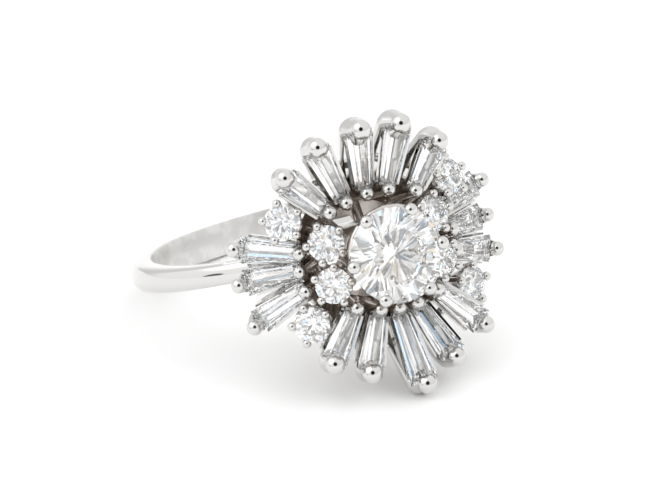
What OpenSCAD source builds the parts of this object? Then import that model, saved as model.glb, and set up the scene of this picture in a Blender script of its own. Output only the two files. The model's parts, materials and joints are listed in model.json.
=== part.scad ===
// Marguerite cluster ring: a round centre stone over sixteen tapered baguette petals
// and eight small round stones, on a plain tapered shank. It lies on its side.
// In the ring's own frame X runs across the finger, Y along it, and Z from the finger
// to the head; the last step tips that frame as the ring lies, on the claw of its lowest
// petal and the back edge of its shank.

/* [Shank] */
// Radius of the finger hole
finger_r = 8.5; // [7.8:0.1:9.5]
// Radial thickness of the shank
shank_thick = 1.3; // [1.1:0.1:1.6]
// Width of the shank at the back of the finger
shank_w_back = 1.9; // [1.5:0.05:1.95]
// Width of the shank under the head
shank_w_head = 0.9; // [0.8:0.1:1.5]
// Radius of the crowned outer face, across its width
shank_crown_r = 1; // [0.98:0.01:1.6]

/* [Gallery] */
// Radius of the bearer ring that carries every claw
bearer_r = 2.9; // [2.8:0.05:3.1]
// Height of the bearer ring over the finger's centre
bearer_z = 11.6; // [11.2:0.1:12]
// Radius of the bearer ring's wire
bearer_wire = 0.38; // [0.34:0.02:0.44]
// Radius of the four posts between shank and bearer ring
post_r = 0.48; // [0.4:0.02:0.56]
// Radius of the wires that tie the claws of neighbouring petals together
brace_wire = 0.24; // [0.2:0.01:0.28]

/* [Centre setting] */
// Girdle radius of the centre stone
centre_r = 2.57; // [2.4:0.01:2.7]
// Height of the centre stone's girdle
centre_z = 17.6; // [17:0.1:18]
// Radius of the ring of claw tips
claw_ring_r = 2.47; // [2.4:0.01:2.6]
// Radius of a centre claw's bead
claw_bead_r = 0.4; // [0.34:0.02:0.46]
// Radius of a centre claw's wire at the tip
claw_wire = 0.3; // [0.24:0.02:0.36]
// Radius of the ring wire at the foot of the setting
foot_ring_r = 1.35; // [1.2:0.05:1.5]
// Height of that foot ring
foot_ring_z = 12.2; // [12:0.05:12.4]
// Radius of the ring wire under the stone
upper_ring_r = 2.18; // [2.16:0.01:2.2]
// Height of that upper ring
upper_ring_z = 16.4; // [16.3:0.1:16.5]

/* [Baguette petals] */
// Half width of a baguette at its outer end
petal_half_out = 0.74; // [0.6:0.02:0.76]
// Half width of a baguette at its inner end
petal_half_in = 0.46; // [0.38:0.01:0.46]
// Radius of the small bead over the inner end
inner_bead_r = 0.34; // [0.3:0.02:0.36]
// Radius of the broad back behind an outer claw's bead, in parts of the bead's radius
hood_part = 1.32; // [1.2:0.02:1.36]
// Depth of that back's middle below the bead's, in the same parts
hood_drop = 1.45; // [1.3:0.05:1.6]
// Distance that it is tucked in towards the centre, in the same parts
hood_tuck = 0.36; // [0.3:0.02:0.42]

/* [Small rounds] */
// Girdle radius of a small round stone
round_r = 1; // [0.9:0.02:1.02]
// Prongs on each small collet
prong_count = 5; // [4:1:6]
// Radius of a prong's bead
prong_bead_r = 0.25; // [0.2:0.01:0.28]

/* [Rest] */
// Tip of the head above level as the ring lies
rest_tip = 15.5; // [0:0.1:25]
// Roll about the finger-to-head line as the ring lies
rest_roll = 1.6; // [0:0.1:20]
// Shift from the finger's centre that puts the origin under the middle of the ring
rest_back = 4.49; // [0:0.01:10]
// Height of the finger's centre over the floor
rest_lift = 3.35; // [0:0.01:10]

/* [Hidden] */
// Each petal's two claw tips: angle round the head, radius and height, outer then inner; the radius
// of its outer bead; and how much broader than the others its back is, and its shift to one side
out_angle = 0; out_radius = 1; out_height = 2; in_angle = 3; in_radius = 4; in_height = 5; bead_r = 6;
broader = 7; back_shift = 8;
PETALS = [
    // outer claw        inner claw          bead  back
    [130,   6.8,  15.6,  130.5, 3.65, 15.3,  0.52, 1.04, 0.04],
    [110.5, 6.8,  16.1,  114,   3.3,  15.2,  0.55, 1.08, 0.05],
    [90,    6.75, 16.6,  92,    3.2,  15.1,  0.56, 1.18, 0.1],
    [70,    6.85, 16.1,  71,    3.3,  15.2,  0.56, 1.24, 0.15],
    [49,    6.55, 15.6,  47.5,  3.65, 15.3,  0.51, 1.28, 0.16],
    [14.5,  7.35, 11.9,  17,    4.45, 14.1,  0.4,  1,    0],
    [-1,    7.1,  11.4,  0,     4.3,  13.9,  0.39, 1,    0],
    [-15.5, 7.3,  11.9,  -15,   4.35, 14.1,  0.4,  1,    0],
    [-49.5, 6.8,  15.6,  -48.5, 3.6,  15.3,  0.46, 1,    0],
    [-70,   6.7,  16.1,  -69.5, 3.3,  15.2,  0.52, 1,    0],
    [-88,   7.2,  16.6,  -87,   3.1,  15.1,  0.55, 1,    0],
    [-112,  6.4,  16.1,  -107,  3.05, 15.2,  0.56, 1,    0],
    [-129.5, 6.5, 15.6,  -131,  3.3,  15.3,  0.55, 1,    0],
    [-160.5, 7.4, 11.9,  -166,  4.5,  14.1,  0.43, 1,    0],
    [181.3, 7.15, 11.4,  180,   4.35, 13.9,  0.42, 1,    0],
    [165.5, 7.3,  11.9,  167,   4.3,  14.1,  0.44, 1,    0]
];
// Each small round: angle round the head, radius and height of its girdle, outward tilt, first prong
at_angle = 0; at_radius = 1; at_height = 2; tilt_x = 3; tilt_y = 4; first_prong = 5;
ROUNDS = [
    [149,  5.55, 14.3, -28, 8,  21],
    [157,  3.2,  15.2, -25, 4,  32],
    [-162, 3.25, 15.2, -25, -4, 2],
    [-148, 5.35, 14.3, -28, -8, 26],
    [31,   5.5,  14.3, 28,  8,  15],
    [22,   3.4,  15.2, 25,  4,  4],
    [-22,  3.3,  15.2, 25,  -4, 40],
    [-34,  5.65, 13.8, 28,  -8, 10]
];

// Clear gap between a stone and its metal
gap = 0.03;
// A baguette: its girdle below the claw tips, its heights, its steps and its ends
petal_sink = 0.36;
petal_crown = 0.24;
petal_girdle = 0.06;
petal_pavilion = 0.5;
crown_break = 0.35;
upper_step = 0.12;
lower_step = 0.12;
keel_inset = 0.3;
petal_end_out = 0.22;
petal_end_in = 0.1;
// The rail under each stone: its outer end below the claw tips, and its foot below the inner one
rail_depth = 1.25;
rail_foot = 1.38;
rail_wire = 0.2;
rail_wire_out = 0.23;
// The claws of a petal, from their tips to their feet on the bearer ring
inner_wire = 0.26;
inner_wire_low = 0.32;
outer_foot_wire = 0.42;
// The outer claw's wire under its bead and under its back, in parts of each
neck_part = 0.9;
shoulder_part = 0.93;
// Place of a brace along an outer claw, from its back to its foot
brace_place = 0.42;
// The first petal and the last of each side's group, counted from 0
GROUPS = [[0, 4], [5, 7], [8, 12], [13, 15]];
// The four posts: place on the shank, and angle and radius on the bearer ring
post_x = 3.4;
post_angle = 40;
post_top_r = bearer_wire * 0.9;
// The foot ring's wire, and the thinner spokes from it to the bearer ring
foot_ring_wire = 0.3;
spoke_count = 6;
spoke_turn = 30;
spoke_wire = 0.26;
// The claws of the centre stone
claw_count = 6;
claw_rise = 0.3;
claw_foot_wire = claw_wire * 1.3;
upper_ring_wire = claw_wire * 0.83;
// Cut of a round stone, in parts of its radius
table_part = 0.57;
star_part = 0.78;
lower_part = 0.24;
crown_part = 0.3;
pavilion_part = 0.86;
girdle_part = 0.03;
seat_part = 0.66;
// Small collet: its cup, and its prongs from the cup's side to their beads
cup_depth = 1.25;
cup_floor = 0.2;
cup_foot_r = 0.62;
cup_rim = 0.35;
cup_wall = 0.16;
prong_wire = 0.17;
prong_tip_wire = 0.187;
prong_foot_r = 0.82;
prong_foot_drop = 0.85;
prong_lean = 0.05;
prong_rise = 0.14;
// The bead's middle, from the prong's end: inwards over the stone, and up
bead_in = 0.03;
bead_up = 0.01;
// The stem under the cup starts inside its floor
stem_start = 0.1;
stem_wire = 0.36;
stem_foot_wire = 0.3;
// Colours
metal_colour = "gainsboro";
stone_colour = "aliceblue";
$fn = 48;

// A node's name from its kind and its place in the table, counted from 01
function numbered(kind, k) = str(kind, k < 9 ? "0" : "", k + 1);
BAGUETTES = [for (k = [0 : len(PETALS) - 1]) numbered("baguette_", k)];
SMALL_ROUNDS = [for (k = [0 : len(ROUNDS) - 1]) numbered("small_round_", k)];

// A point from its angle, radius and height in the ring's frame
function polar(angle, r, z) = [r * cos(angle), r * sin(angle), z];
function outer_tip(p) = polar(p[out_angle], p[out_radius], p[out_height]);
function inner_tip(p) = polar(p[in_angle], p[in_radius], p[in_height]);
function petal_run(p) = norm(outer_tip(p) - inner_tip(p));

// Slope of a petal: positive where its outer end stands higher, and its claw leans back by as much
function claw_lean(p) = (p[out_height] - p[in_height]) / (p[out_radius] - p[in_radius]);

// The ring as it lies: its head faces the front, tipped up, and it is rolled a little to one side
module at_rest() {
    translate([0, rest_back, rest_lift])
        rotate([-rest_tip, -rest_roll, 0])
            rotate([90, 0, 0])
                children();
}

// A straight or tapered wire between two points
module wire(a, b, ra, rb) {
    d = b - a;
    translate(a)
        rotate([0, acos(d[2] / norm(d)), atan2(d[1], d[0])])
            cylinder(h = norm(d), r1 = ra, r2 = rb);
}

// A round wire bent into a ring about the head's axis
module wire_ring(r, z, wire_r) {
    translate([0, 0, z])
        rotate_extrude()
            translate([r, 0])
                circle(r = wire_r);
}

// The frame of one petal: origin at the inner claw's tip, X along the stone, Z out of its table
module on_petal(p) {
    run = outer_tip(p) - inner_tip(p);
    translate(inner_tip(p))
        rotate([0, -atan2(run[2], norm([run[0], run[1]])), atan2(run[1], run[0])])
            children();
}

// The broad back of an outer claw behind its bead, its foot on the bearer ring, and the brace's place between
function hood_r(p) = hood_part * p[broader] * p[bead_r];
function hood(p) =
    let (drop = hood_drop * p[bead_r] * sqrt(p[broader]))
    from_petal(p, [petal_run(p) - drop * max(0, claw_lean(p)) - hood_tuck * p[bead_r], p[back_shift], -drop]);
function outer_foot(p) = polar(p[out_angle], bearer_r, bearer_z);
function brace_point(p) = hood(p) + brace_place * (outer_foot(p) - hood(p));

// A point of a petal's frame brought back to the ring's frame
function from_petal(p, v) =
    let (run = outer_tip(p) - inner_tip(p),
         level = norm([run[0], run[1]]),
         along = run / norm(run),
         side = [-run[1], run[0], 0] / level,
         up = cross(along, side))
    inner_tip(p) + v[0] * along + v[1] * side + v[2] * up;

// The frame of one small round: origin at the middle of its girdle, Z out of its table
module on_round(s) {
    translate(polar(s[at_angle], s[at_radius], s[at_height]))
        rotate([-s[tilt_y], s[tilt_x], 0])
            children();
}

// The closed body through a stack of loops, each with as many points as the first
module loft(loops) {
    n = len(loops[0]);
    last = len(loops) - 1;
    polyhedron(
        points = [for (loop = loops) each loop],
        faces = concat(
            [[for (i = [0 : n - 1]) i]],
            [for (k = [0 : last - 1]) for (i = [0 : n - 1])
                [k * n + i, (k + 1) * n + i, (k + 1) * n + (i + 1) % n, k * n + (i + 1) % n]],
            [[for (i = [n - 1 : -1 : 0]) last * n + i]]
        )
    );
}

// A baguette's outline at one height, pulled in from the girdle by the same amount all round
function baguette_loop(run, inset, z) =
    let (x_in = petal_end_in, x_out = run - petal_end_out,
         slope = (petal_half_out - petal_half_in) / (x_out - x_in),
         draw_in = inset * sqrt(1 + slope * slope),
         half_in = petal_half_in + slope * inset - draw_in,
         half_out = petal_half_out - slope * inset - draw_in)
    [[x_in + inset, -half_in, z], [x_in + inset, half_in, z],
     [x_out - inset, half_out, z], [x_out - inset, -half_out, z]];

// A tapered baguette: a long table, two steps above the girdle and two below
module baguette_cut(run) {
    top = -petal_sink + petal_crown;
    girdle_low = -petal_sink - petal_girdle;
    loft([
        baguette_loop(run, upper_step * 2, top),
        baguette_loop(run, upper_step, top - petal_crown * crown_break),
        baguette_loop(run, 0, -petal_sink),
        baguette_loop(run, 0, girdle_low),
        baguette_loop(run, lower_step + gap, girdle_low - petal_pavilion / 2),
        baguette_loop(run, keel_inset, girdle_low - petal_pavilion)
    ]);
}

// A straight block with a baguette's outline, between two heights
module baguette_block(run, inset, low, high) {
    translate([0, 0, low])
        linear_extrude(high - low)
            polygon([for (q = baguette_loop(run, inset, 0)) [q[0], q[1]]]);
}

// The space a baguette needs in its claws: wide from the girdle to just over the table,
// and narrower round the lower step
module baguette_seat(run) {
    shelf = -petal_sink - petal_girdle - petal_pavilion / 2;
    baguette_block(run, -gap, shelf, -petal_sink + petal_crown + gap);
    baguette_block(run, lower_step, -petal_sink - petal_girdle - petal_pavilion - gap, shelf + gap);
}

// Eight points at one radius and height, turned by a given angle
function eight(r, z, turn) = [for (k = [0 : 7]) [r * cos(45 * k + turn), r * sin(45 * k + turn), z]];
function sixteen(r, z) = [for (k = [0 : 15]) [r * cos(22.5 * k), r * sin(22.5 * k), z]];

// A round brilliant of a given girdle radius: table, stars, kites, halves, girdle and pavilion
module brilliant_cut(r) {
    crown_h = crown_part * r;
    table_r = table_part * r;
    star_r = star_part * r;
    lower_r = lower_part * r;
    girdle_h = girdle_part * r;
    star_h = crown_h * (r - star_r * cos(22.5)) / (r - table_r);
    lower_h = pavilion_part * r * (1 - lower_r * cos(22.5) / r);
    points = concat(
        eight(table_r, girdle_h + crown_h, 0),
        eight(star_r, girdle_h + star_h, 22.5),
        sixteen(r, girdle_h),
        sixteen(r, -girdle_h),
        eight(lower_r, -girdle_h - lower_h, 22.5),
        [[0, 0, -girdle_h - pavilion_part * r]]
    );
    star = 8;
    high = 16;
    low = 32;
    deep = 48;
    culet = 56;
    polyhedron(points = points, faces = concat(
        [[for (k = [7 : -1 : 0]) k]],
        [for (k = [0 : 7]) [k, (k + 1) % 8, star + k]],
        [for (k = [0 : 7]) [k, star + k, high + 2 * k, star + (k + 7) % 8]],
        [for (k = [0 : 7]) [star + k, high + 2 * k + 1, high + 2 * k]],
        [for (k = [0 : 7]) [star + k, high + (2 * k + 2) % 16, high + 2 * k + 1]],
        [for (k = [0 : 15]) [high + k, high + (k + 1) % 16, low + (k + 1) % 16, low + k]],
        [for (k = [0 : 7]) [deep + k, low + 2 * k, low + 2 * k + 1]],
        [for (k = [0 : 7]) [deep + k, low + 2 * k + 1, low + (2 * k + 2) % 16]],
        [for (k = [0 : 7]) [culet, deep + (k + 7) % 8, low + 2 * k, deep + k]]
    ));
}

// The space a round stone needs: a double cone a gap larger than the stone
module round_seat(r) {
    rim = r + gap;
    half = girdle_part * r + gap;
    rotate_extrude()
        polygon([
            [0, -half - pavilion_part * r], [rim, -half], [rim, half],
            [seat_part * r + gap, half + crown_part * r], [0, half + crown_part * r]
        ]);
}

// The shank: crowned outside, flat inside, its width tapering from the back to the head
module shank() {
    outer_r = finger_r + shank_thick;
    reach = outer_r + 1;
    half_back = shank_w_back / 2;
    half_head = shank_w_head / 2;
    intersection() {
        rotate([-90, 0, 0])
            rotate_extrude($fn = 128)
                intersection() {
                    translate([finger_r, -half_back])
                        square([shank_thick, shank_w_back]);
                    translate([outer_r - shank_crown_r, 0])
                        circle(r = shank_crown_r);
                }
        rotate([90, 0, 90])
            linear_extrude(2 * reach, center = true)
                polygon([
                    [-half_back, -reach], [half_back, -reach],
                    [half_head, reach], [-half_head, reach]
                ]);
    }
}

// The bearer ring on its four posts, with spokes that carry the centre setting
module gallery() {
    seat_r = finger_r + shank_thick / 2;
    wire_ring(bearer_r, bearer_z, bearer_wire);
    for (side = [-1, 1])
        for (turn = [-1, 1])
            wire([side * post_x, 0, sqrt(seat_r * seat_r - post_x * post_x)],
                 [side * bearer_r * cos(post_angle), turn * bearer_r * sin(post_angle), bearer_z],
                 post_r, post_top_r);
    for (k = [0 : spoke_count - 1]) {
        turn = spoke_turn + 360 / spoke_count * k;
        wire(polar(turn, foot_ring_r, foot_ring_z), polar(turn, bearer_r, bearer_z), spoke_wire, spoke_wire);
    }
}

// The wires that tie the outer claws of one group of petals together, part way along them
module braces(first, last) {
    for (k = [first : last - 1])
        wire(brace_point(PETALS[k]), brace_point(PETALS[k + 1]), brace_wire, brace_wire);
}

// The centre setting: two ring wires and six claws, notched for the stone
module centre_setting() {
    difference() {
        union() {
            wire_ring(foot_ring_r, foot_ring_z, foot_ring_wire);
            wire_ring(upper_ring_r, upper_ring_z, upper_ring_wire);
            for (k = [0 : claw_count - 1]) {
                turn = 360 / claw_count * k;
                tip = polar(turn, claw_ring_r, centre_z + claw_rise);
                wire(polar(turn, foot_ring_r, foot_ring_z - foot_ring_wire / 2), tip, claw_foot_wire, claw_wire);
                translate(tip)
                    sphere(r = claw_bead_r);
            }
        }
        translate([0, 0, centre_z])
            round_seat(centre_r);
    }
}

// One petal's metal: a long outer claw, a short inner claw and the rail under the stone
module petal_setting(p) {
    run = petal_run(p);
    inner_foot = polar(p[in_angle], bearer_r, bearer_z);
    inner_down = (inner_foot - inner_tip(p)) / norm(inner_foot - inner_tip(p));
    difference() {
        union() {
            translate(outer_tip(p))
                sphere(r = p[bead_r]);
            wire(outer_tip(p), hood(p), neck_part * p[bead_r], shoulder_part * hood_r(p));
            translate(hood(p))
                sphere(r = hood_r(p));
            wire(hood(p), outer_foot(p), shoulder_part * hood_r(p), outer_foot_wire);
            wire(inner_tip(p), inner_foot, inner_wire, inner_wire_low);
            translate(inner_tip(p))
                sphere(r = inner_bead_r);
            wire(inner_tip(p) + rail_foot * inner_down, from_petal(p, [run, 0, -rail_depth]),
                 rail_wire, rail_wire_out);
        }
        on_petal(p)
            baguette_seat(run);
    }
}

// One small collet: a cup on a stem, with prongs round its rim
module small_collet(s) {
    difference() {
        union() {
            on_round(s) {
                rotate_extrude()
                    polygon([
                        [0, -cup_depth], [cup_foot_r, -cup_depth], [round_r, -cup_rim],
                        [round_r - cup_wall, -cup_rim], [cup_foot_r - cup_wall, cup_floor - cup_depth],
                        [0, cup_floor - cup_depth]
                    ]);
                for (k = [0 : prong_count - 1]) {
                    turn = s[first_prong] + 360 / prong_count * k;
                    wire(polar(turn, prong_foot_r * round_r, -prong_foot_drop),
                         polar(turn, round_r + prong_lean, prong_rise), prong_wire, prong_tip_wire);
                    translate(polar(turn, round_r + prong_lean - bead_in, prong_rise + bead_up))
                        sphere(r = prong_bead_r);
                }
            }
            wire(collet_foot(s), polar(s[at_angle], bearer_r, bearer_z), stem_wire, stem_foot_wire);
        }
        on_round(s)
            round_seat(round_r);
    }
}

// Where a small collet's stem starts, inside the foot of its cup
function collet_foot(s) =
    polar(s[at_angle], s[at_radius], s[at_height])
    - (cup_depth - stem_start) * [sin(s[tilt_x]) * cos(s[tilt_y]), sin(s[tilt_y]), cos(s[tilt_x]) * cos(s[tilt_y])];

// All the metal: the shank, the gallery and every setting, soldered into one
module ring_mount() {
    color(metal_colour)
        at_rest()
            union() {
                union() {
                    shank();
                    gallery();
                }
                centre_setting();
                for (p = PETALS)
                    petal_setting(p);
                for (group = GROUPS)
                    braces(group[0], group[1]);
                for (s = ROUNDS)
                    small_collet(s);
            }
}

module centre_stone() {
    color(stone_colour)
        at_rest()
            translate([0, 0, centre_z])
                brilliant_cut(centre_r);
}

module baguette(p) {
    color(stone_colour)
        at_rest()
            on_petal(p)
                baguette_cut(petal_run(p));
}

module small_round(s) {
    color(stone_colour)
        at_rest()
            on_round(s)
                brilliant_cut(round_r);
}

ring_mount();
centre_stone();
for (k = [0 : len(PETALS) - 1])
    baguette(PETALS[k]);
for (k = [0 : len(ROUNDS) - 1])
    small_round(ROUNDS[k]);
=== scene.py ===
import json
from math import asin, cos, pi, radians, sin, sqrt

import bpy
from mathutils import Matrix, Vector

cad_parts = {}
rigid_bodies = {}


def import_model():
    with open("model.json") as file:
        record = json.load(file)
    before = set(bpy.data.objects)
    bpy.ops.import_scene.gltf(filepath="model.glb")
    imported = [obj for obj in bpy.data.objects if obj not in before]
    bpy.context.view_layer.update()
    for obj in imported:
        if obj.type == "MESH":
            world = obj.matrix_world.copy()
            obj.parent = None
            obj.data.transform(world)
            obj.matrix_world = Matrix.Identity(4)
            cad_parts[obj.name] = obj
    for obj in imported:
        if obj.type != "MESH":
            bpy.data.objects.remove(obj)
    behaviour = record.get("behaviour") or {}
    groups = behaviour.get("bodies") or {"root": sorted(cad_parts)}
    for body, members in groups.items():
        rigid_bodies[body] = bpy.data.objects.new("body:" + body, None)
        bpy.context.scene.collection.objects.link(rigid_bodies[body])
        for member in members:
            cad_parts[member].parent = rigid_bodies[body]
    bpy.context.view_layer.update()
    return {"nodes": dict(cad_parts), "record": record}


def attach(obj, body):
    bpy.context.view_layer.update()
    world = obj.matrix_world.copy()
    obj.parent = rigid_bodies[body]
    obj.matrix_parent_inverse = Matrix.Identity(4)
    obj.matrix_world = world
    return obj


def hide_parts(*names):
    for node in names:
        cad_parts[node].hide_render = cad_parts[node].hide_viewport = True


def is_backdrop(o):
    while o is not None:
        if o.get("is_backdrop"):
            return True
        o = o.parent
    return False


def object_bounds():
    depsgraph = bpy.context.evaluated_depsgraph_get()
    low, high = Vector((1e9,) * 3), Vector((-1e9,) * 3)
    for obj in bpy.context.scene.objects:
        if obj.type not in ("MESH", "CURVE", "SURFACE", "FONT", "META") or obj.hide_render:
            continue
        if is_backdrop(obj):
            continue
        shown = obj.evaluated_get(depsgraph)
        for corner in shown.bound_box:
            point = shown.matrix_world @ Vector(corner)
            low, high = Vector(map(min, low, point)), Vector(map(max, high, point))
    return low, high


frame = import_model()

# The shank: a plain band of 18 carat white gold, flat on the finger and crowned outside. Its back is made
# thinner, to follow the photo's outline, and bent down, so that it still rests. The ring's own frame has
# X across the finger, Y along it and Z out to the head, in millimetres, and lies as the bore says.
FINGER_R = 8.5
SHANK_THICK = 1.3
SHANK_HALF_BACK = 0.95
SHANK_HALF_HEAD = 0.45
TAPER_REACH = 10.8
BACK_THINNING = 0.4
BACK_DROP = 0.12
BACK_FADE = 3
CROWN_R = 1.0
CROWN_STEPS = 18
EDGE_TURN = 0.08
EDGE_FLAT = 0.06
INSIDE_EDGE = 0.05
EDGE_MIDDLE = 0.3
SHANK_TURNS = 192

bore = frame["record"]["mounts"][0]
ring_y = Vector(bore["axis"]).normalized()
ring_x = Vector((ring_y.z, 0, -ring_y.x)).normalized()
ring_z = ring_x.cross(ring_y)
ring_turn = Matrix((ring_x, ring_y, ring_z)).transposed()
MM = 0.001
lie = Matrix.Translation(bore["pos_m"]) @ ring_turn.to_4x4() @ Matrix.Scale(MM, 4)

workbench = bpy.data.collections.new("workbench")
bpy.context.scene.collection.children.link(workbench)


def solid(name, points, faces, where):
    """A mesh object in the ring's own frame, put into one collection."""
    mesh = bpy.data.meshes.new(name)
    mesh.from_pydata([tuple(p) for p in points], [], faces)
    piece = bpy.data.objects.new(name, mesh)
    where.objects.link(piece)
    return piece


def tray(name):
    """A collection on the workbench for pieces that go into one solder joint or cut."""
    made = bpy.data.collections.new(name)
    workbench.children.link(made)
    return made


def skin(loops, first, last, closed=False):
    """Faces between loops of equal length, closed into a ring or ended in the points first and last."""
    n = len(loops[0])
    points = [p for loop in loops for p in loop]
    faces = []
    pairs = len(loops) if closed else len(loops) - 1
    for k in range(pairs):
        a, b = k * n, (k + 1) % len(loops) * n
        faces += [(a + i, a + (i + 1) % n, b + (i + 1) % n, b + i) for i in range(n)]
    if not closed:
        low, high = len(points), len(points) + 1
        points += [first, last]
        top = (len(loops) - 1) * n
        faces += [(low, (i + 1) % n, i) for i in range(n)]
        faces += [(high, top + i, top + (i + 1) % n) for i in range(n)]
    return points, faces


def shank_loop(turn):
    """The shank's section at one angle round the finger, from the head: a crown over two low walls."""
    part = (cos(turn) * (FINGER_R + SHANK_THICK / 2) + TAPER_REACH) / (2 * TAPER_REACH)
    half = SHANK_HALF_BACK + (SHANK_HALF_HEAD - SHANK_HALF_BACK) * part
    back = max(0, -cos(turn)) ** BACK_FADE
    thick = SHANK_THICK - BACK_THINNING * back
    crown_middle = FINGER_R + thick - CROWN_R
    swing = asin(half / CROWN_R)
    section = []
    for k in range(CROWN_STEPS + 1):
        t = (swing - EDGE_TURN) * (1 - 2 * k / CROWN_STEPS)
        section.append((crown_middle + CROWN_R * cos(t), CROWN_R * sin(t)))
    wall_top = crown_middle + CROWN_R * cos(swing) - EDGE_FLAT
    turned = EDGE_MIDDLE * INSIDE_EDGE
    wall = [(wall_top, half), (FINGER_R + INSIDE_EDGE, half), (FINGER_R + turned, half - turned),
            (FINGER_R, half - INSIDE_EDGE)]
    section += [(r, -y) for r, y in wall] + wall[::-1]
    return [Vector((r * sin(turn), y - BACK_DROP * back, r * cos(turn))) for r, y in section]


shank_loops = [shank_loop(2 * pi * k / SHANK_TURNS) for k in range(SHANK_TURNS)]
shank = solid("shank", *skin(shank_loops, None, None, closed=True), workbench)
gold_tray = tray("gold_tray")

# The gallery: a bearer ring of round wire on four tapered posts over the shank, with six
# spokes to the foot of the centre setting. It is all soldered, and every claw stands on it.
BEARER_R = 2.9
BEARER_Z = 11.6
BEARER_WIRE = 0.38
POST_X = 3.4
POST_R = 0.48
POST_TOP_R = 0.342
POST_ANGLE = 40
FOOT_RING_R = 1.35
FOOT_RING_Z = 12.2
FOOT_RING_WIRE = 0.3
SPOKE_WIRE = 0.26
SPOKES = 6
WIRE_SIDES = 20
DOME_STEPS = 5
HOOP_TURNS = 72


def polar(angle, r, z):
    return Vector((r * cos(radians(angle)), r * sin(radians(angle)), z))


def across(axis):
    """Two directions square to an axis and to each other."""
    first = axis.orthogonal().normalized()
    return first, axis.cross(first)


def wire(name, a, ra, b, rb, sides=WIRE_SIDES, where=None):
    """A round wire between two points, straight or tapered, with a ball end of its own radius at each."""
    along = (b - a).normalized()
    length = (b - a).length
    lean = asin(max(-0.99, min(0.99, (ra - rb) / length)))
    like, side = across(along)
    stations = []
    for k in range(1, DOME_STEPS + 1):
        swing = -pi / 2 + (lean + pi / 2) * k / DOME_STEPS
        stations.append((ra * sin(swing), ra * cos(swing)))
    for k in range(DOME_STEPS):
        swing = lean + (pi / 2 - lean) * k / DOME_STEPS
        stations.append((length + rb * sin(swing), rb * cos(swing)))
    turns = [2 * pi * k / sides for k in range(sides)]
    loops = [[a + along * out + r * (like * cos(t) + side * sin(t)) for t in turns] for out, r in stations]
    return solid(name, *skin(loops, a - along * ra, b + along * rb), where or gold_tray)


def hoop(name, r, z, wire_r, middle=(0, 0)):
    """A round wire bent into a ring about the head's axis, or about a line beside it."""
    swings = [2 * pi * i / WIRE_SIDES for i in range(WIRE_SIDES)]
    loops = []
    for k in range(HOOP_TURNS):
        out = polar(360 * k / HOOP_TURNS, 1, 0)
        loops.append([out * (r + wire_r * cos(t)) + Vector((*middle, z - wire_r * sin(t))) for t in swings])
    return solid(name, *skin(loops, None, None, closed=True), gold_tray)


def block(name, low, high, where):
    """A closed block between two outlines of four corners."""
    faces = [(3, 2, 1, 0), (4, 5, 6, 7)] + [(i, (i + 1) % 4, (i + 1) % 4 + 4, i + 4) for i in range(4)]
    return solid(name, low + high, faces, where)


def join(piece, operation, pieces):
    """Adds every piece of a tray to one piece, or cuts it out."""
    step = piece.modifiers.new(pieces.name, "BOOLEAN")
    step.operation = operation
    step.operand_type = "COLLECTION"
    step.collection = pieces
    step.solver = "MANIFOLD"


hoop("bearer_ring", BEARER_R, BEARER_Z, BEARER_WIRE)
hoop("foot_ring", FOOT_RING_R, FOOT_RING_Z, FOOT_RING_WIRE)
post_seat_r = FINGER_R + SHANK_THICK / 2
for side in (-1, 1):
    for turn in (-1, 1):
        low = Vector((side * POST_X, 0, sqrt(post_seat_r ** 2 - POST_X ** 2)))
        high = Vector((side * BEARER_R * cos(radians(POST_ANGLE)),
                       turn * BEARER_R * sin(radians(POST_ANGLE)), BEARER_Z))
        wire(f"post_{side}_{turn}", low, POST_R, high, POST_TOP_R)
for k in range(SPOKES):
    turn = 30 + 360 / SPOKES * k
    wire(f"spoke_{k}", polar(turn, FOOT_RING_R, FOOT_RING_Z), SPOKE_WIRE,
         polar(turn, BEARER_R, BEARER_Z), SPOKE_WIRE)

# The dish: a thin sheet of the same gold, soldered on the bearer ring. It is a guess at what closes
# the view between the stones in the photo. One wide window and four round ones are sawn out of it.
# The sheet is gold, and it looks dark only through the white gold's painted shade
DISH_PROFILE = [(1.15, 12.05), (2.3, 11.8), (2.95, 11.8), (3.5, 12.1), (4.15, 12.85),
                (4.3, 12.7), (3.65, 11.9), (2.95, 11.5), (2.3, 11.55), (1.15, 11.8)]
DISH_SIDES = 96
WIDE_WINDOW = [(-0.95, 1.2), (-0.2, 1.3), (-0.45, 1.9), (-1.42, 1.92)]
ROUND_WINDOWS = [0, -60, -120, 180]
WINDOW_PLACE = 1.95
WINDOW_R = 0.4
WINDOW_LOW = 11
WINDOW_HIGH = 13
piercings = tray("piercings")
dish_loops = [[polar(360 * k / DISH_SIDES, r, z) for r, z in DISH_PROFILE] for k in range(DISH_SIDES)]
dish = solid("dish", *skin(dish_loops, None, None, closed=True), gold_tray)
for turn in ROUND_WINDOWS:
    wire(f"window_{turn}", polar(turn, WINDOW_PLACE, WINDOW_LOW), WINDOW_R,
         polar(turn, WINDOW_PLACE, WINDOW_HIGH), WINDOW_R, where=piercings)
low, high = [[Vector((x, y, z)) for x, y in WIDE_WINDOW] for z in (WINDOW_LOW, WINDOW_HIGH)]
block("wide_window", low, high, piercings)
join(dish, "DIFFERENCE", piercings)

# The centre setting: six round claws that spread from the foot ring past an upper ring to
# the girdle of the centre stone, each with its end pushed over as a polished bead.
CENTRE_R = 2.57
CENTRE_Z = 17.6
CLAWS = 6
CLAW_RING_R = 2.47
CLAW_RISE = 0.3
CLAW_WIRE = 0.3
CLAW_FOOT_WIRE = 0.39
CLAW_BEAD_R = 0.37
CLAW_BEAD_SIDES = 28
BEAD_SIDES = 24
UPPER_RING_R = 2.34
UPPER_RING_Z = 16.4
UPPER_RING_WIRE = 0.2
UPPER_RING_MIDDLE = (0.26, 0.04)


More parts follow.
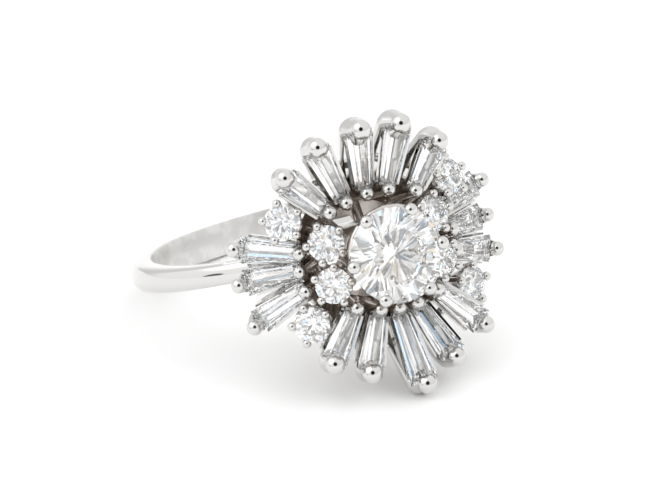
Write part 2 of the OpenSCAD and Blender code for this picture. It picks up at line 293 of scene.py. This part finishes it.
def bead(name, middle, r, sides=BEAD_SIDES):
    """The polished round end of a claw."""
    rings = sides // 2
    turns = [2 * pi * i / sides for i in range(sides)]
    loops = []
    for j in range(1, rings):
        swing = pi * j / rings
        wide, low = sin(swing), -cos(swing)
        loops.append([middle + r * Vector((wide * cos(t), wide * sin(t), low)) for t in turns])
    ends = middle - Vector((0, 0, r)), middle + Vector((0, 0, r))
    return solid(name, *skin(loops, *ends), gold_tray)


hoop("upper_ring", UPPER_RING_R, UPPER_RING_Z, UPPER_RING_WIRE, UPPER_RING_MIDDLE)
for k in range(CLAWS):
    turn = 360 / CLAWS * k
    foot = polar(turn, FOOT_RING_R, FOOT_RING_Z - FOOT_RING_WIRE / 2)
    tip = polar(turn, CLAW_RING_R, CENTRE_Z + CLAW_RISE)
    wire(f"centre_claw_{k}", foot, CLAW_FOOT_WIRE, tip, CLAW_WIRE)
    bead(f"centre_bead_{k}", tip, CLAW_BEAD_R, CLAW_BEAD_SIDES)

# The petals: each tapered baguette has one stout outer claw with a broad rounded back and a
# bead, brought in to the bearer ring, one fine inner claw, a rail under the stone and a thin
# wall on each side of it. Short wires tie the outer claws of neighbouring petals together.
PETALS = [  # outer claw's tip: angle, radius, height; inner claw's tip: the same; outer bead's radius;
    # and how much broader than the others the claw's back is, and its shift to one side
    (130, 6.8, 15.6, 130.5, 3.65, 15.3, 0.52, 1.04, 0.04),
    (110.5, 6.8, 16.1, 114, 3.3, 15.2, 0.55, 1.08, 0.05),
    (90, 6.75, 16.6, 92, 3.2, 15.1, 0.56, 1.18, 0.1),
    (70, 6.85, 16.1, 71, 3.3, 15.2, 0.56, 1.24, 0.15),
    (49, 6.55, 15.6, 47.5, 3.65, 15.3, 0.51, 1.28, 0.16),
    (14.5, 7.35, 11.9, 17, 4.45, 14.1, 0.4, 1, 0),
    (-1, 7.1, 11.4, 0, 4.3, 13.9, 0.39, 1, 0),
    (-15.5, 7.3, 11.9, -15, 4.35, 14.1, 0.4, 1, 0),
    (-49.5, 6.8, 15.6, -48.5, 3.6, 15.3, 0.46, 1, 0),
    (-70, 6.7, 16.1, -69.5, 3.3, 15.2, 0.52, 1.12, -0.12),
    (-88, 7.2, 16.6, -87, 3.1, 15.1, 0.55, 1.08, -0.14),
    (-112, 6.4, 16.1, -107, 3.05, 15.2, 0.56, 1, 0),
    (-129.5, 6.5, 15.6, -131, 3.3, 15.3, 0.55, 1, 0),
    (-160.5, 7.4, 11.9, -166, 4.5, 14.1, 0.43, 1, 0),
    (181.3, 7.15, 11.4, 180, 4.35, 13.9, 0.42, 1, 0),
    (165.5, 7.3, 11.9, 167, 4.3, 14.1, 0.44, 1, 0),
]
PETAL_GROUPS = [(0, 4), (5, 7), (8, 12), (13, 15)]
OUTER_BEAD_SIDES = 32
CLAW_SIDES = 28
# The back, its depth, its tuck and the neck are in parts of the bead's radius, and the foot's lean
# to one side is in parts of the back's shift
HOOD_PART = 1.32
HOOD_DROP = 1.45
HOOD_TUCK = 0.36
NECK_PART = 0.85
OUTER_FOOT_WIRE = 0.42
FOOT_LEAN = 3
INNER_BEAD_R = 0.4
INNER_WIRE = 0.26
INNER_WIRE_LOW = 0.32
RAIL_DEPTH = 1.25
RAIL_SHORT = 0.25
RAIL_FOOT = 1.38
RAIL_WIRE = 0.2
RAIL_WIRE_OUT = 0.23
WALL_TOP = -0.5
WALL_LOW_IN = -1.15
WALL_LOW_OUT = -1.0
WALL_THICK = 0.15
WALL_START = 0.2
WALL_SIDE_IN = 0.5
WALL_STOP = 0.6
WALL_SIDE_OUT = 0.7
BRACE_PLACE = 0.42
BRACE_WIRE = 0.24


class Petal:
    """One petal's claws, and the frame of its stone: along it, across it and out of its table."""

    def __init__(self, row):
        out_angle, out_r, out_z, in_angle, in_r, in_z, self.bead_r, broader, shift = row
        self.outer_tip = polar(out_angle, out_r, out_z)
        self.inner_tip = polar(in_angle, in_r, in_z)
        run = self.outer_tip - self.inner_tip
        self.run = run.length
        self.along = run.normalized()
        self.side = Vector((-run.y, run.x, 0)).normalized()
        self.up = self.along.cross(self.side)
        self.outer_foot = polar(out_angle, BEARER_R, BEARER_Z) + self.side * (FOOT_LEAN * shift)
        self.inner_foot = polar(in_angle, BEARER_R, BEARER_Z)
        self.hood_r = HOOD_PART * broader * self.bead_r
        lean = max(0, (out_z - in_z) / (out_r - in_r))
        drop = HOOD_DROP * self.bead_r * sqrt(broader)
        self.hood = self.place(self.run - drop * lean - HOOD_TUCK * self.bead_r, shift, -drop)
        self.brace = self.hood.lerp(self.outer_foot, BRACE_PLACE)

    def place(self, x, y, z):
        return self.inner_tip + self.along * x + self.side * y + self.up * z


petals = [Petal(row) for row in PETALS]
for k, p in enumerate(petals):
    bead(f"outer_bead_{k}", p.outer_tip, p.bead_r, OUTER_BEAD_SIDES)
    wire(f"outer_neck_{k}", p.outer_tip, NECK_PART * p.bead_r, p.hood, p.hood_r, CLAW_SIDES)
    wire(f"outer_claw_{k}", p.hood, p.hood_r, p.outer_foot, OUTER_FOOT_WIRE, CLAW_SIDES)
    bead(f"inner_bead_{k}", p.inner_tip, INNER_BEAD_R)
    wire(f"inner_claw_{k}", p.inner_tip, INNER_WIRE, p.inner_foot, INNER_WIRE_LOW)
    down = (p.inner_foot - p.inner_tip).normalized()
    rail_out = p.place(p.run - RAIL_SHORT, 0, -RAIL_DEPTH)
    wire(f"rail_{k}", p.inner_tip + down * RAIL_FOOT, RAIL_WIRE, rail_out, RAIL_WIRE_OUT)
    wall_ends = [(1, WALL_START, WALL_SIDE_IN, WALL_LOW_IN),
                 (-1, p.run - WALL_STOP, WALL_SIDE_OUT, WALL_LOW_OUT)]
    for way in (-1, 1):
        low, high = [], []
        for order, x, y, z in wall_ends:
            pair = [way * y, way * (y + WALL_THICK)][::order * way]
            low += [p.place(x, side, z) for side in pair]
            high += [p.place(x, side, WALL_TOP) for side in pair]
        block(f"wall_{k}_{way}", low, high, gold_tray)
for first, last in PETAL_GROUPS:
    for k in range(first, last):
        wire(f"brace_{k}", petals[k].brace, BRACE_WIRE, petals[k + 1].brace, BRACE_WIRE)

# The small collets: turned cups on stems from the bearer ring, with five prongs each round
# the rim. The prongs' ends are beaded over the girdle of a small round stone.
ROUNDS = [  # middle of the girdle: angle, radius, height; outward tilt about Y and X; first prong
    (149, 5.55, 14.3, -28, 8, 21),
    (157, 3.2, 15.2, -25, 4, 32),
    (-162, 3.25, 15.2, -25, -4, 2),
    (-148, 5.35, 14.3, -28, -8, 26),
    (31, 5.5, 14.3, 28, 8, 15),
    (22, 3.4, 15.2, 25, 4, 4),
    (-22, 3.3, 15.2, 25, -4, 40),
    (-34, 5.65, 13.8, 28, -8, 10),
]
ROUND_R = 1
CUP_PROFILE = [(0.62, -1.25), (1, -0.35), (0.97, -0.3), (0.87, -0.3), (0.84, -0.35), (0.46, -1.05)]
CUP_FLOOR = -1.05
CUP_FOOT = -1.25
CUP_SIDES = 48
STEM_WIRE = 0.36
STEM_FOOT_WIRE = 0.3
STEM_START = -1.15
PRONGS = 5
PRONG_WIRE = 0.17
PRONG_TIP_WIRE = 0.187
PRONG_FOOT_R = 0.82
PRONG_FOOT_Z = -0.85
PRONG_LEAN = 0.05
PRONG_RISE = 0.14
PRONG_SIDES = 14
PRONG_BEAD_R = 0.25
PRONG_BEAD_SIDES = 20
BEAD_IN = 0.03
BEAD_UP = 0.01


def round_frame(row):
    """The frame of one small round: origin in its girdle's plane, Z out of its table."""
    angle, r, z, tilt_x, tilt_y, first_prong = row
    tilt = Matrix.Rotation(radians(tilt_x), 4, "Y") @ Matrix.Rotation(radians(-tilt_y), 4, "X")
    return Matrix.Translation(polar(angle, r, z)) @ tilt


for k, row in enumerate(ROUNDS):
    at = round_frame(row)
    loops = [[at @ polar(360 * i / CUP_SIDES, r, z) for i in range(CUP_SIDES)] for r, z in CUP_PROFILE]
    solid(f"cup_{k}", *skin(loops, at @ Vector((0, 0, CUP_FOOT)), at @ Vector((0, 0, CUP_FLOOR))), gold_tray)
    wire(f"stem_{k}", at @ Vector((0, 0, STEM_START)), STEM_WIRE,
         polar(row[0], BEARER_R, BEARER_Z), STEM_FOOT_WIRE)
    for j in range(PRONGS):
        turn = row[5] + 360 / PRONGS * j
        low = at @ polar(turn, PRONG_FOOT_R, PRONG_FOOT_Z)
        high = at @ polar(turn, ROUND_R + PRONG_LEAN, PRONG_RISE)
        wire(f"prong_{k}_{j}", low, PRONG_WIRE, high, PRONG_TIP_WIRE, PRONG_SIDES)
        end = at @ polar(turn, ROUND_R + PRONG_LEAN - BEAD_IN, PRONG_RISE + BEAD_UP)
        bead(f"prong_bead_{k}_{j}", end, PRONG_BEAD_R, PRONG_BEAD_SIDES)

# Soldering and stone setting: every wire, cup and bead runs into one casting, and a seat a
# hair larger than each stone is cut out of it. The metal is polished white gold, bright on
# the claws, with painted shade: a brown-grey tint deep between the stones, where little light gets.
GAP = 0.03
PETAL_HALF_OUT = 0.74
PETAL_HALF_IN = 0.46
PETAL_END_OUT = 0.22
PETAL_END_IN = 0.1
PETAL_TABLE = -0.12
PETAL_GIRDLE = -0.36
PETAL_GIRDLE_LOW = -0.42
PETAL_KEEL = -0.92
SEAT_SHELF = -0.67
SEAT_STEP = 0.12
CREASE = radians(34)
# A round stone's girdle and the seat's table, rise and point, in parts of the stone's radius
ROUND_GIRDLE = 0.03
SEAT_TABLE = 0.66
SEAT_RISE = 0.3
SEAT_POINT = 0.86
SEAT_SIDES = 64


def petal_loop(p, inset, z):
    """A tapered baguette's outline at one height, drawn in from its girdle on all sides."""
    x_in, x_out = PETAL_END_IN, p.run - PETAL_END_OUT
    slope = (PETAL_HALF_OUT - PETAL_HALF_IN) / (x_out - x_in)
    draw_in = inset * sqrt(1 + slope * slope)
    half_in = PETAL_HALF_IN + slope * inset - draw_in
    half_out = PETAL_HALF_OUT - slope * inset - draw_in
    a, b = x_in + inset, x_out - inset
    return [p.place(a, half_in, z), p.place(a, -half_in, z), p.place(b, -half_out, z), p.place(b, half_out, z)]


def round_seat(name, at, r):
    """The double cone that a round stone needs, a gap larger than the stone."""
    rim = r + GAP
    half = ROUND_GIRDLE * r + GAP
    top = half + SEAT_RISE * r
    profile = [(rim, -half), (rim, half), (SEAT_TABLE * r + GAP, top)]
    loops = [[at @ polar(360 * i / SEAT_SIDES, q, z) for i in range(SEAT_SIDES)] for q, z in profile]
    ends = at @ Vector((0, 0, -half - SEAT_POINT * r)), at @ Vector((0, 0, top))
    return solid(name, *skin(loops, *ends), seats)


seats = tray("seats")
for k, p in enumerate(petals):
    block(f"seat_{k}", petal_loop(p, -GAP, SEAT_SHELF), petal_loop(p, -GAP, PETAL_TABLE + GAP), seats)
    block(f"seat_low_{k}", petal_loop(p, SEAT_STEP, PETAL_KEEL - GAP),
          petal_loop(p, SEAT_STEP, SEAT_SHELF + GAP), seats)
for k, row in enumerate(ROUNDS):
    round_seat(f"round_seat_{k}", round_frame(row), ROUND_R)
round_seat("centre_seat", Matrix.Translation((0, 0, CENTRE_Z)), CENTRE_R)

join(shank, "UNION", gold_tray)
join(shank, "DIFFERENCE", seats)
bpy.context.view_layer.update()
cast = shank.evaluated_get(bpy.context.evaluated_depsgraph_get())
metal_mesh = bpy.data.meshes.new_from_object(cast)
metal_mesh.transform(lie)
metal_mesh.shade_smooth()
metal_mesh.set_sharp_from_angle(angle=CREASE)
metal_mesh.name = "white_gold_mount"
mount = bpy.data.objects.new("white_gold_mount", metal_mesh)
bpy.context.scene.collection.objects.link(mount)
for piece in list(workbench.all_objects):
    bpy.data.objects.remove(piece)
bpy.data.collections.remove(workbench)


class Reading:
    """A socket of a node tree. Sums written with it add the Math nodes that work them out."""

    def __init__(self, tree, socket=None):
        self.tree = tree
        self.socket = socket

    def node(self, kind, settings, sockets, output=0):
        """Adds a node with its settings, then the values or links of its sockets."""
        made = self.tree.nodes.new(kind)
        for name, value in settings.items():
            if name == "stops":
                for k, (place, colour) in enumerate(value):
                    ramp = made.color_ramp.elements
                    stop = ramp[k] if k < 2 else ramp.new(place)
                    stop.position = place
                    stop.color = (*colour, 1)
            else:
                setattr(made, name, value)
        for name, value in sockets.items():
            if isinstance(value, Reading):
                self.tree.links.new(value.socket, made.inputs[name])
            else:
                made.inputs[name].default_value = value
        return Reading(self.tree, made.outputs[output])

    def sum(self, operation, a, b):
        return self.node("ShaderNodeMath", {"operation": operation}, {0: a, 1: b})

    def __add__(self, other):
        return self.sum("ADD", self, other)

    def __radd__(self, other):
        return self.sum("ADD", other, self)

    def __sub__(self, other):
        return self.sum("SUBTRACT", self, other)

    def __rsub__(self, other):
        return self.sum("SUBTRACT", other, self)

    def __mul__(self, other):
        return self.sum("MULTIPLY", self, other)

    def __rmul__(self, other):
        return self.sum("MULTIPLY", other, self)

    def __pow__(self, other):
        return self.sum("POWER", self, other)

    def dot(self, way):
        settings = {"operation": "DOT_PRODUCT"}
        return self.node("ShaderNodeVectorMath", settings, {0: self, 1: tuple(way)}, "Value")

    def rise(self, low, high):
        """0 below low, 1 above high, and smooth between them."""
        settings = {"interpolation_type": "SMOOTHSTEP"}
        return self.node("ShaderNodeMapRange", settings, {"Value": self, "From Min": low, "From Max": high})

    def fall(self, low, high):
        return 1 - self.rise(low, high)

    def tint(self, low, high):
        """A colour between two others, by this value."""
        settings = {"data_type": "RGBA"}
        low = low if isinstance(low, Reading) else (*low, 1)
        return self.node("ShaderNodeMix", settings, {"Factor": self, 6: low, 7: (*high, 1)}, 2)

    def noise(self, scale, detail=2, roughness=0.5):
        """Soft speckle over a place in space."""
        return self.node("ShaderNodeTexNoise", {}, {
            "Vector": self, "Scale": scale, "Detail": detail, "Roughness": roughness}, "Fac")


def surface(name, **constants):
    """A material with a Principled shader, the constants of its sockets, and its empty reading."""
    made = bpy.data.materials.new(name)
    made.use_nodes = True
    shader = made.node_tree.nodes["Principled BSDF"]
    for socket, value in constants.items():
        shader.inputs[socket.replace("_", " ")].default_value = value
    return made, shader, Reading(made.node_tree)


def place_of(reading):
    return reading.node("ShaderNodeNewGeometry", {}, {}, "Position")


def feed(reading, shader, **links):
    for socket, value in links.items():
        reading.tree.links.new(value.socket, shader.inputs[socket.replace("_", " ")])


BRIGHT_GOLD = (0.69, 0.683, 0.668)
# Painted shade: the brown-grey that the gold is given deep between the stones
PAINTED_SHADE_GOLD = (0.56, 0.5, 0.455)
WORN_GOLD = (0.77, 0.765, 0.75)
DEPTH_LOW = 12.0
DEPTH_HIGH = 15.2
DEPTH_RADIUS = 5.2
DEPTH_CORE = 0.66
UNDER_STONE_R = 2.6
UNDER_STONE_EDGE = 1.3
UNDER_STONE_RISE = 3.2
GALLERY_LOW = 9.6
GALLERY_HIGH = 11
FINGER_FACE = 8.53
FINGER_FACE_END = 8.6

white_gold, shader, empty = surface("white_gold", Metallic=1.0)
place = place_of(empty)
origin = Vector(bore["pos_m"])
height = place.dot(ring_z) - origin.dot(ring_z)
from_x = place.dot(ring_x) - origin.dot(ring_x)
from_y = place.dot(ring_y) - origin.dot(ring_y)
from_axis = (from_x * from_x + from_y * from_y) ** 0.5
# Painted shade: the gold turns brown-grey low in the head near its axis, reaching higher under the centre
# stone, mottled by noise
inside = from_axis.fall(DEPTH_CORE * DEPTH_RADIUS * MM, DEPTH_RADIUS * MM)
under = from_axis.fall(UNDER_STONE_R * MM, UNDER_STONE_EDGE * UNDER_STONE_R * MM)
painted_shade_mask = (height - UNDER_STONE_RISE * MM * under).fall(DEPTH_LOW * MM, DEPTH_HIGH * MM)
painted_shade_mask = painted_shade_mask * inside * height.rise(GALLERY_LOW * MM, GALLERY_HIGH * MM)
patch = place.noise(900, 3)
on_finger = ((from_x * from_x + height * height) ** 0.5).fall(FINGER_FACE * MM, FINGER_FACE_END * MM)
colour = (painted_shade_mask * (0.6 + 0.4 * patch)).tint(BRIGHT_GOLD, PAINTED_SHADE_GOLD)
worn = on_finger * place.noise(1100, 2).rise(0.42, 0.58)
colour = worn.tint(colour, WORN_GOLD)
rough = 0.05 + 0.06 * place.noise(1500, 3) + 0.12 * painted_shade_mask + 0.3 * on_finger
scratches = place.noise(5200, 4, 0.65)
waves = place.noise(420, 1)
bump = empty.node("ShaderNodeBump", {}, {
    "Strength": 0.12, "Distance": 0.02 * MM, "Height": 0.3 * scratches + 0.7 * waves})
feed(empty, shader, Base_Color=colour, Roughness=rough, Normal=bump)
metal_mesh.materials.clear()
metal_mesh.materials.append(white_gold)
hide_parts("ring_mount")
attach(mount, "root")

# The diamonds: a round brilliant in the middle, eight small brilliants and sixteen tapered
# baguettes. They are clear and flat-faceted, and a painted tint of blue or straw by facet stands for
# their fire, the coloured light that real stones split.
CLEAR = (1.0, 1.0, 1.0)
ICE = (0.93, 0.965, 1.0)
STRAW = (1.0, 0.975, 0.93)
DIAMOND_IOR = 2.42
FACET_STEP = 0.04
# The centre stone's cut, in parts of its girdle's radius. It has ten folds where a cutter makes
# eight, because that looked nearer to the photo's stone when renders were compared.
CENTRE_CUT = {"folds": 10, "table": 0.56, "star": 0.78, "lower": 0.14, "crown": 0.3, "pavilion": 0.84}
# Each step of a baguette's pavilion: how far it is drawn in, in parts of the half width, and its
# depth under the girdle at the wide end. Then for each step of its crown, drawn in by and rise.
PAVILION_STEPS = [(0.97, 0.5), (0.5, 0.33)]
STONE_CROWN = [(0.1, 0.13), (0.22, 0.24)]
END_PULL = 0.55


def baguette_facets(p):
    """A tapered step cut: the pavilion's long facets meet at a keel, the crown's frame a long table."""
    x_in, x_out = PETAL_END_IN, p.run - PETAL_END_OUT
    loops = []
    for part, drop in PAVILION_STEPS:
        corners = []
        for x, way in ((x_in + END_PULL * part, -1), (x_out - END_PULL * part, 1)):
            half = PETAL_HALF_IN + (PETAL_HALF_OUT - PETAL_HALF_IN) * (x - x_in) / (x_out - x_in)
            z = PETAL_GIRDLE_LOW - drop * half / PETAL_HALF_OUT
            y = half * (1 - part)
            corners += [p.place(x, -way * y, z), p.place(x, way * y, z)]
        loops.append(corners)
    loops += [petal_loop(p, 0, PETAL_GIRDLE_LOW), petal_loop(p, 0, PETAL_GIRDLE)]
    loops += [petal_loop(p, inset, PETAL_GIRDLE + rise) for inset, rise in STONE_CROWN]
    faces = [(3, 2, 1, 0)]
    for k in range(len(loops) - 1):
        faces += [(4 * k + i, 4 * k + (i + 1) % 4, 4 * k + 4 + (i + 1) % 4, 4 * k + 4 + i) for i in range(4)]
    top = 4 * len(loops) - 4
    faces.append((top, top + 1, top + 2, top + 3))
    return [corner for loop in loops for corner in loop], faces


def brilliant_facets(r, folds, table, star, lower, crown, pavilion):
    """A round brilliant: table, stars, kites and halves over the girdle, long halves and mains below it."""
    girdle = ROUND_GIRDLE
    step = 360 / folds
    star_r, lower_r = star * r, lower * r
    edge = cos(radians(step / 2))
    star_z = girdle * r + crown * r * (r - star_r * edge) / (r - table * r)
    lower_z = -girdle * r - pavilion * r * (1 - lower_r * edge / r)
    points = [polar(step * k, table * r, girdle * r + crown * r) for k in range(folds)]
    points += [polar(step * (k + 0.5), star_r, star_z) for k in range(folds)]
    points += [polar(step * k / 2, r, girdle * r) for k in range(2 * folds)]
    points += [polar(step * k / 2, r, -girdle * r) for k in range(2 * folds)]
    points += [polar(step * (k + 0.5), lower_r, lower_z) for k in range(folds)]
    points.append(Vector((0, 0, -girdle * r - pavilion * r)))
    high, low, deep = 2 * folds, 4 * folds, 6 * folds
    culet = 7 * folds
    faces = [tuple(range(folds))]
    for k in range(folds):
        after, before = (k + 1) % folds, (k - 1) % folds
        faces += [(after, k, folds + k), (k, folds + before, high + 2 * k, folds + k)]
        faces += [(folds + k, high + 2 * k, high + 2 * k + 1), (folds + k, high + 2 * k + 1, high + 2 * after)]
        faces += [(deep + k, low + 2 * k + 1, low + 2 * k), (deep + k, low + 2 * after, low + 2 * k + 1)]
        faces.append((culet, deep + k, low + 2 * k, deep + before))
    for k in range(2 * folds):
        faces.append((high + (k + 1) % (2 * folds), high + k, low + k, low + (k + 1) % (2 * folds)))
    return points, faces


diamond, shader, empty = surface("diamond", IOR=DIAMOND_IOR, Transmission_Weight=1.0, Roughness=0.0)
# Painted fire: each facet gets a faint blue or straw tint in place of split light
facet = empty.node("ShaderNodeNewGeometry", {}, {}, "True Normal")
one_facet = empty.node("ShaderNodeVectorMath", {"operation": "SNAP"}, {0: facet, 1: (FACET_STEP,) * 3})
spread = empty.node("ShaderNodeTexWhiteNoise", {"noise_dimensions": "3D"}, {"Vector": one_facet}, "Value")
painted_fire = empty.node("ShaderNodeValToRGB", {
    "stops": [(0.0, ICE), (1.0, STRAW), (0.35, CLEAR), (0.7, CLEAR)]}, {"Fac": spread})
feed(empty, shader, Base_Color=painted_fire)
for k, p in enumerate(petals):
    stone = solid(f"step_cut_{k + 1:02d}", *baguette_facets(p), bpy.context.scene.collection)
    stone.data.transform(lie)
    stone.data.materials.append(diamond)
    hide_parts(f"baguette_{k + 1:02d}")
    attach(stone, "root")
brilliant = solid("round_brilliant", *brilliant_facets(CENTRE_R, **CENTRE_CUT), bpy.context.scene.collection)
brilliant.data.transform(lie @ Matrix.Translation((0, 0, CENTRE_Z)))
brilliant.data.materials.append(diamond)
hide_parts("centre_stone")
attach(brilliant, "root")
for name, node in frame["nodes"].items():
    if name.startswith("small_round"):
        node.data.shade_flat()
        node.data.materials.clear()
        node.data.materials.append(diamond)

# The photographer's table: a pale sweep, a white tent that glows most at the upper left, a lamp at the
# front right, and the dark round of the lens, which the beads mirror. The floor, the gold and the stones
# each get a tent of their own, as no real studio gives, and the lamp is hidden from gold and stones.
TABLE_SIZE = 6.0
table_mesh = bpy.data.meshes.new("pale_table")
half = TABLE_SIZE / 2
table_corners = [(-half, -half, 0), (half, -half, 0), (half, half, 0), (-half, half, 0)]
table_mesh.from_pydata(table_corners, [], [(0, 1, 2, 3)])
table = bpy.data.objects.new("pale_table", table_mesh)
bpy.context.scene.collection.objects.link(table)
paper, shader, empty = surface("pale_paper", Roughness=0.9)
feed(empty, shader, Base_Color=place_of(empty).noise(60, 4).tint((0.93, 0.93, 0.93), (0.95, 0.95, 0.95)))
table_mesh.materials.append(paper)
table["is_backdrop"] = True

# The camera's place and directions, in the ring's own frame
EYE = Vector((-102.5, 53.2, 395.0))
EYE_RIGHT = Vector((0.9311, -0.2368, 0.2775))
EYE_UP = Vector((0.2636, 0.9625, -0.0634))
EYE_BACK = -Vector((0.2521, -0.1322, -0.9586))
EYE_LENS = 405.66
EYE_SENSOR = 36
turn = ring_turn @ Matrix((EYE_RIGHT, EYE_UP, EYE_BACK)).transposed()
eye_data = bpy.data.cameras.new("photo_camera")
eye_data.lens = EYE_LENS
eye_data.sensor_width = EYE_SENSOR
eye = bpy.data.objects.new("photo_camera", eye_data)
eye.matrix_world = Matrix.Translation(lie @ EYE) @ turn.to_4x4()
bpy.context.scene.collection.objects.link(eye)
bpy.context.scene.camera = eye

HEAD_Z = 15
LENS_LIFT = 0.12
to_lens = (lie @ EYE - lie @ Vector((0, 0, HEAD_Z))).normalized()
to_top = (turn @ Vector((0, 1, 0))).normalized()
tent = bpy.data.worlds.new("white_tent")
tent.use_nodes = True
bpy.context.scene.world = tent
air = Reading(tent.node_tree)
way = air.node("ShaderNodeTexCoord", {}, {}, "Generated")
through = air.node("ShaderNodeLightPath", {}, {}, "Is Transmission Ray")
mirrored = air.node("ShaderNodeLightPath", {}, {}, "Is Glossy Ray") * (1 - through)


def patch_of_tent(direction, wide, narrow):
    """1 within the narrow half angle round a direction and 0 beyond the wide one, in degrees."""
    return way.dot(Vector(direction).normalized()).rise(cos(radians(wide)), cos(radians(narrow)))


lens_spot = patch_of_tent(to_lens + LENS_LIFT * to_top, 24, 20)
key_glow = patch_of_tent((-0.59, -0.05, 0.81), 34, 22)
gap_back = patch_of_tent((-0.25, 0.9, 0.35), 30, 18)
left_gap = patch_of_tent((-0.985, -0.15, 0.03), 9, 6)
left_wall = patch_of_tent((-0.9, 0.1, 0.3), 62, 30)
overhead = way.dot((0, 0, 1)).rise(0.0, 0.8)
# What the floor takes its light from, what the gold mirrors, and what shows through the stones
plain = 0.88 + 0.3 * overhead + 0.3 * key_glow
polish = (0.96 + 0.1 * overhead + 0.6 * key_glow + 0.16 * left_wall) * (1 - 0.16 * gap_back)
polish = polish * (1 - 0.98 * lens_spot) * (1 - 0.9 * left_gap)
# The stones' tent is a pattern of bright and dark cells. The pick is their fourth coordinate, and is
# the one of those tried that brought the stones nearest to their brightness in the photo.
SPARKLE_SCALE = 6.0
SPARKLE_PICK = 1.58
cell = air.node("ShaderNodeTexVoronoi", {"voronoi_dimensions": "4D"}, {
    "Vector": way, "W": SPARKLE_PICK, "Scale": SPARKLE_SCALE}, "Color")
sparkle = (0.2 + 1.15 * cell.dot((1, 0, 0)).rise(0.0, 0.62) + 0.15 * key_glow) * (1 - 0.4 * lens_spot)
level = plain + (polish - plain) * mirrored + (sparkle - plain) * through
backdrop = tent.node_tree.nodes["Background"]
air.tree.links.new(level.socket, backdrop.inputs["Strength"])
WHITE, STRAW_GLINT, BLUE_GLINT = (1, 1, 1), (1, 0.86, 0.6), (0.62, 0.8, 1)
glints = [(0.0, WHITE), (1.0, STRAW_GLINT), (0.74, WHITE), (0.8, BLUE_GLINT), (0.88, BLUE_GLINT), (0.92, WHITE)]
colour = air.node("ShaderNodeValToRGB", {"stops": glints}, {"Fac": cell.dot((0, 1, 0)) * through})
air.tree.links.new(colour.socket, backdrop.inputs["Color"])

LAMP_PLACE = Vector((0.33, -0.4, 0.38))
LAMP_AIM = Vector((0, 0, 0.005))
softbox = bpy.data.lights.new("key_light", "AREA")
softbox.shape = "SQUARE"
softbox.size = 0.4
softbox.energy = 1.0
lamp = bpy.data.objects.new("key_light", softbox)
lamp.location = LAMP_PLACE
lamp.rotation_euler = (LAMP_AIM - LAMP_PLACE).to_track_quat("-Z", "Y").to_euler()
lamp.visible_glossy = lamp.visible_transmission = False
bpy.context.scene.collection.objects.link(lamp)
bpy.context.scene.view_settings.view_transform = "Standard"
# Light has to cross a stone many times before it comes out again
LIGHT_TURNS = 16
bpy.context.scene.cycles.max_bounces = 24
bpy.context.scene.cycles.glossy_bounces = LIGHT_TURNS
bpy.context.scene.cycles.transmission_bounces = LIGHT_TURNS

low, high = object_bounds()
